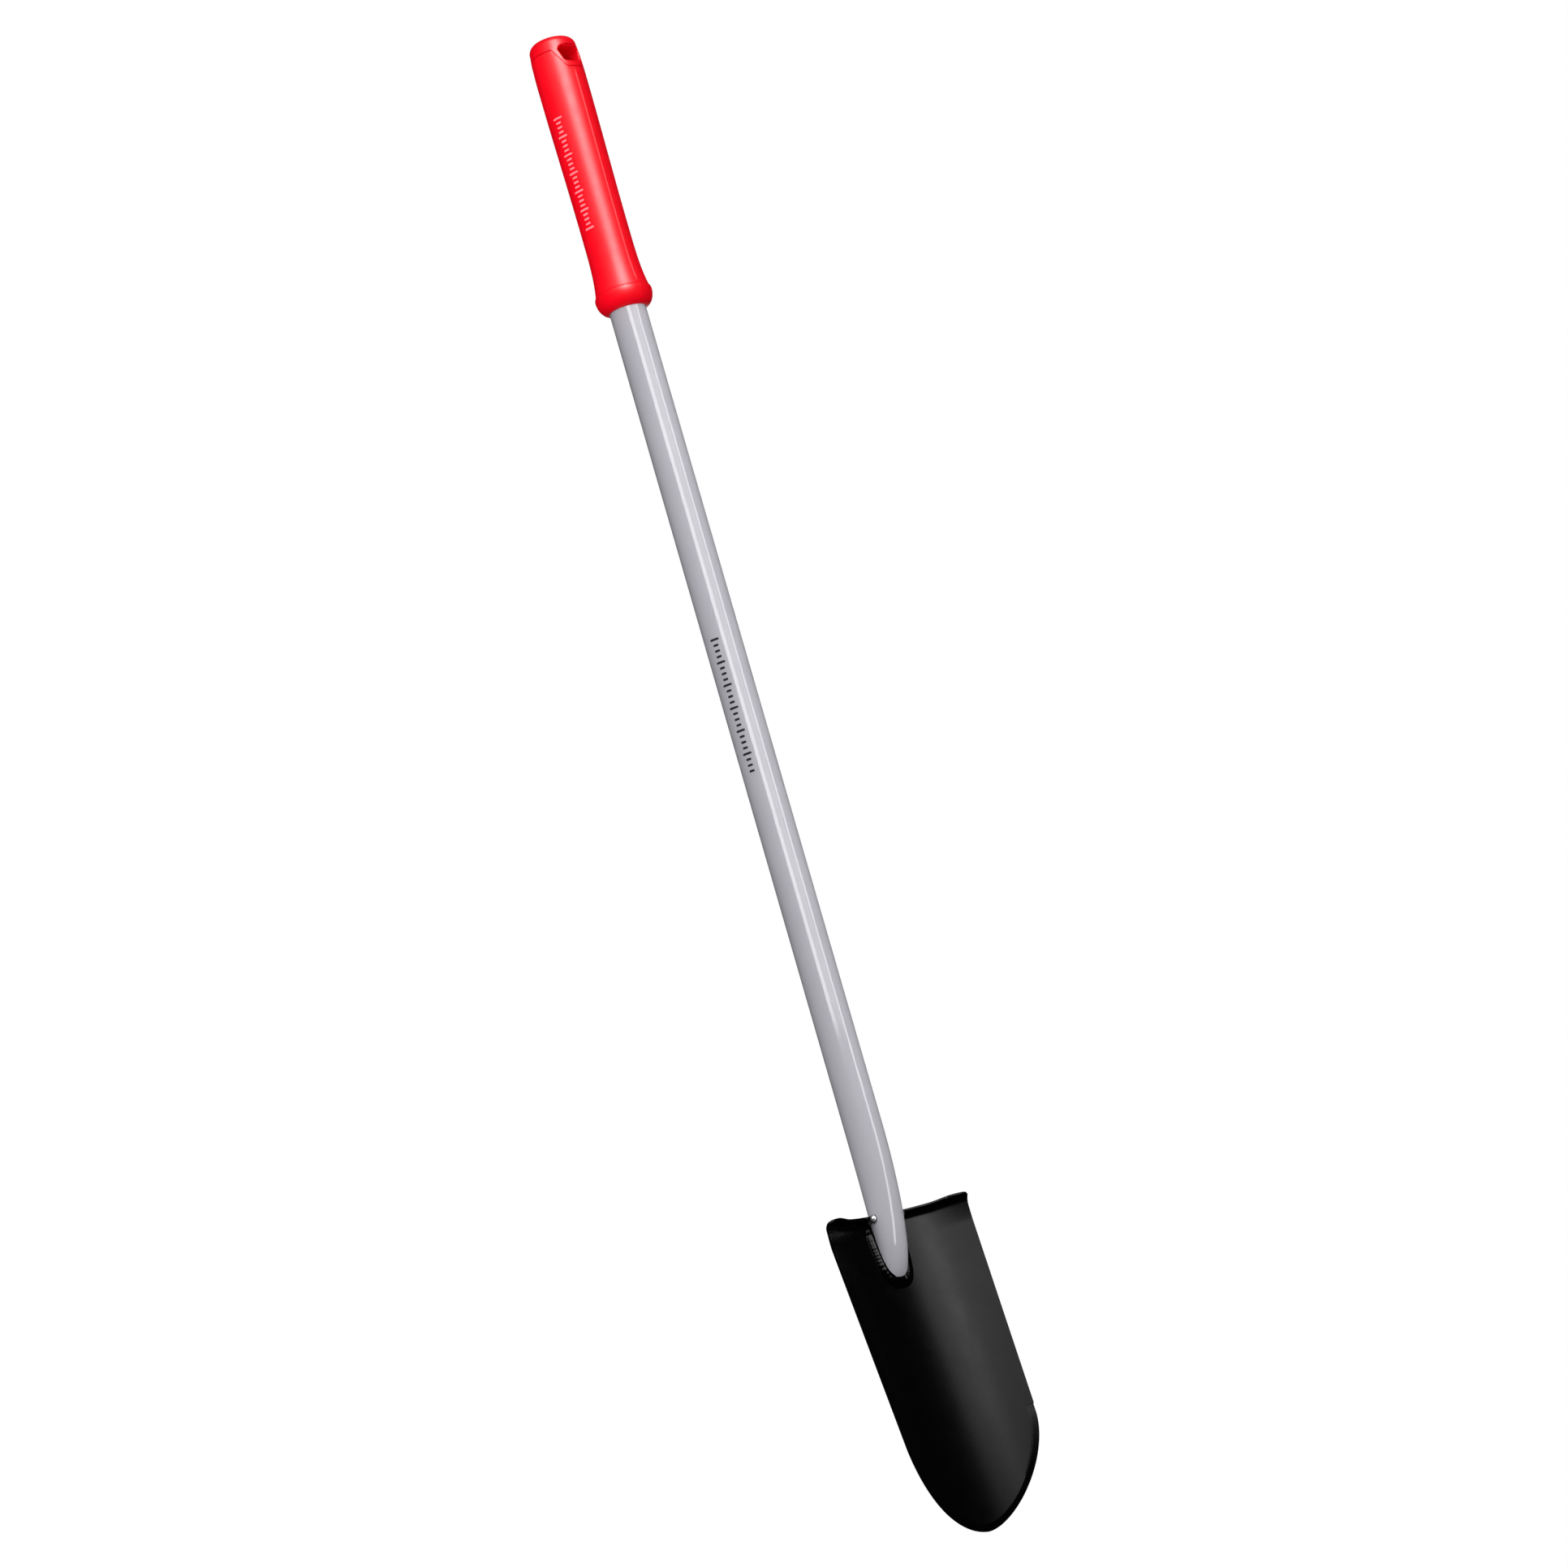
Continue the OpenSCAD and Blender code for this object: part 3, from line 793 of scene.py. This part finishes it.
def make_world():
    """White for the camera, a soft grey all round for diffuse light, and nearly dark in reflections."""
    world = bpy.data.worlds.new("studio")
    bpy.context.scene.world = world
    world.use_nodes = True
    tree = world.node_tree
    tree.nodes.clear()
    out = tree.nodes.new("ShaderNodeOutputWorld")
    path = tree.nodes.new("ShaderNodeLightPath")
    levels = [("ShaderNodeBackground", s) for s in (1.0, AMBIENT, SURROUND)]
    shaders = []
    for kind, strength in levels:
        node = tree.nodes.new(kind)
        node.inputs["Color"].default_value = (1, 1, 1, 1)
        node.inputs["Strength"].default_value = strength
        shaders.append(node.outputs[0])
    lower = tree.nodes.new("ShaderNodeMixShader")
    tree.links.new(path.outputs["Is Diffuse Ray"], lower.inputs[0])
    tree.links.new(shaders[2], lower.inputs[1])
    tree.links.new(shaders[1], lower.inputs[2])
    upper = tree.nodes.new("ShaderNodeMixShader")
    tree.links.new(path.outputs["Is Camera Ray"], upper.inputs[0])
    tree.links.new(lower.outputs[0], upper.inputs[1])
    tree.links.new(shaders[0], upper.inputs[2])
    tree.links.new(upper.outputs[0], out.inputs[0])


def aim_light(name, light, azimuth, elevation, target, distance, lit):
    """Hangs a light so that it faces target. Azimuth 0 is in front (-Y) and grows towards +X.

    It lights only the pieces in lit, or everything when lit is empty.
    """
    lamp = bpy.data.objects.new(name, light)
    a, e = math.radians(azimuth), math.radians(elevation)
    away = Vector((math.sin(a) * math.cos(e), -math.cos(a) * math.cos(e), math.sin(e)))
    lamp.location = target + away * distance
    lamp.rotation_mode = "QUATERNION"
    lamp.rotation_quaternion = (-away).to_track_quat("-Z", "Y")
    lamp.visible_camera = False
    if lit:
        group = bpy.data.collections.new(name + "_lit")
        for piece in lit:
            group.objects.link(bpy.data.objects[piece])
        lamp.light_linking.receiver_collection = group
    bpy.context.scene.collection.objects.link(lamp)
    return lamp


def make_softbox(name, azimuth, size, height, radiance, lit=()):
    """An upright rectangular light that shows as a highlight only."""
    light = bpy.data.lights.new(name, "AREA")
    light.shape = "RECTANGLE"
    light.size, light.size_y = size
    light.energy = radiance * math.pi * size[0] * size[1]
    aim_light(name, light, azimuth, 0, Vector((0, 0, height)), 2.2, lit).visible_diffuse = False


def make_wash(name, azimuth, radiance, lit=(), elevation=25, spread=90):
    """A distant, soft light that shows in matt colour only, never as a highlight."""
    light = bpy.data.lights.new(name, "SUN")
    light.energy = radiance * math.pi
    light.angle = math.radians(spread)
    light.cycles.use_multiple_importance_sampling = False
    aim_light(name, light, azimuth, elevation, Vector((0, 0, -0.45)), 3.0, lit).visible_glossy = False


def make_near_wash(name, azimuth, height, size, level, lit=()):
    """A round light for matt colour only, near enough to fade along the tool; level is its strength at the top."""
    distance = 2.2
    light = bpy.data.lights.new(name, "AREA")
    light.shape = "DISK"
    light.size = size
    light.energy = level * (math.pi * distance) ** 2
    light.cycles.use_multiple_importance_sampling = False
    aim_light(name, light, azimuth, 0, Vector((0, 0, height)), distance, lit).visible_glossy = False


AMBIENT, SURROUND = 0.03, 0.004
GRIP = ("grip_core_body", "gel_sleeve_skin", "grip_marks")
TUBE = ("handle_tube_shell", "tube_marks", "collar_weld_bead")
BLADE = ("blade_sheet", "toe_weld_bead")


def make_lights():
    make_wash("wash_back", 132, 0.62)
    make_wash("grip_wash_left", -130, 0.28, GRIP)
    make_wash("grip_wash_front", -48, 0.75, GRIP)
    make_wash("grip_wash_right", 35, 0.60, GRIP)
    make_wash("grip_wash_below", -60, 0.50, GRIP, -50)
    make_wash("grip_wash_slot", -76, 0.27, GRIP, 10, 24)
    make_wash("wash_left", -130, 0.26, TUBE + BLADE)
    make_wash("wash_front", -48, 0.30, TUBE + BLADE)
    make_wash("wash_right", 35, 0.66, TUBE + BLADE)
    make_near_wash("wash_above", -48, 0.35, 1.4, 0.64, TUBE + BLADE)
    make_softbox("grip_key", -28, (1.32, 2.7), 1.72, 16.2, GRIP)
    make_softbox("grip_fill", -75, (1.2, 2.6), 1.76, 1.2, GRIP)
    make_softbox("tube_key", -39, (0.80, 1.5), 0.30, 8.2, TUBE)
    make_softbox("tube_middle", -12, (1.25, 1.5), 0.30, 3.0, TUBE)
    make_softbox("tube_strip", 14, (0.48, 3.4), 0.0, 6.3, TUBE)
    make_softbox("blade_panel", 11, (2.2, 2.2), 0.48, 1.2, BLADE)
    make_softbox("blade_strip", 20, (0.3, 2.2), 0.48, 1.3, BLADE)
    make_softbox("blade_rim", -130, (0.9, 2.2), 0.0, 1.2, BLADE)
    make_softbox("blade_back", 180, (1.6, 2.2), 0.2, 1.0, BLADE)
    make_softbox("back_strip", 130, (0.5, 2.4), -0.2, 2.0, GRIP + TUBE)


def make_camera():
    azimuth, elevation, roll = (math.radians(d) for d in (-48.0, -9.727, -16.139))
    distance, lens = 2.7336, 94.81
    back = Vector((math.sin(azimuth) * math.cos(elevation), -math.cos(azimuth) * math.cos(elevation),
                   math.sin(elevation)))
    level = Vector((math.cos(azimuth), math.sin(azimuth), 0))
    above = back.cross(level)
    aim = Vector((0, 0, -0.5244)) + level * 0.012509
    right = level * math.cos(roll) + above * math.sin(roll)
    up = above * math.cos(roll) - level * math.sin(roll)
    camera = bpy.data.cameras.new("camera")
    camera.lens, camera.sensor_width = lens, 36.0
    camera.clip_start, camera.clip_end = 0.05, 60.0
    holder = bpy.data.objects.new("camera", camera)
    turn = Matrix((right, up, back)).transposed().to_4x4()
    holder.matrix_world = Matrix.Translation(aim + back * distance) @ turn
    bpy.context.scene.collection.objects.link(holder)
    bpy.context.scene.camera = holder


def main():
    scene = bpy.context.scene
    scene.view_settings.view_transform = "Standard"
    make_camera()
    make_world()
    make_floor()
    red, deep = (0.86, 0.0005, 0.010), (0.76, 0.0004, 0.008)
    rubber = red_material("grip_rubber", red, deep, (0.40, 0.46), 900.0)
    plastic = red_material("cap_plastic", (0.84, 0.0004, 0.010), (0.76, 0.0004, 0.008), (0.36, 0.42), 700.0)
    gel = red_material("gel", (0.80, 0.22, 0.20), (0.70, 0.16, 0.15), (0.25, 0.3), 200.0)
    coat = black_material("blade_coat", (0.24, 0.28), (0.0003, 0.0003, 0.00033))
    weld_coat = black_material("weld_coat", (0.09, 0.13), (0.0003, 0.0003, 0.00033))
    make_tube(tube_material())
    make_core(plastic)
    make_sleeve(rubber)
    make_pad(gel)
    make_blade(coat)
    make_toe_bead(weld_coat)
    make_collar_bead(silver_weld_material())
    pale = print_material("grip_print", (0.95, 0.24, 0.27), 0.45)
    black = print_material("tube_print", (0.02, 0.02, 0.022), 0.4)
    make_marks("grip_marks", pale, "grip_rubber", lambda z: grip_r(z), -83,
               scale_bars(-43.5, 3.35, 25, 1.35, 7.4, 4.2))
    make_marks("tube_marks", black, "tube_paint", lambda z: TUBE_R, -73,
               scale_bars(-420, 4.0, 24, 1.6, 6.5, 3.8))
    make_lights()


main()
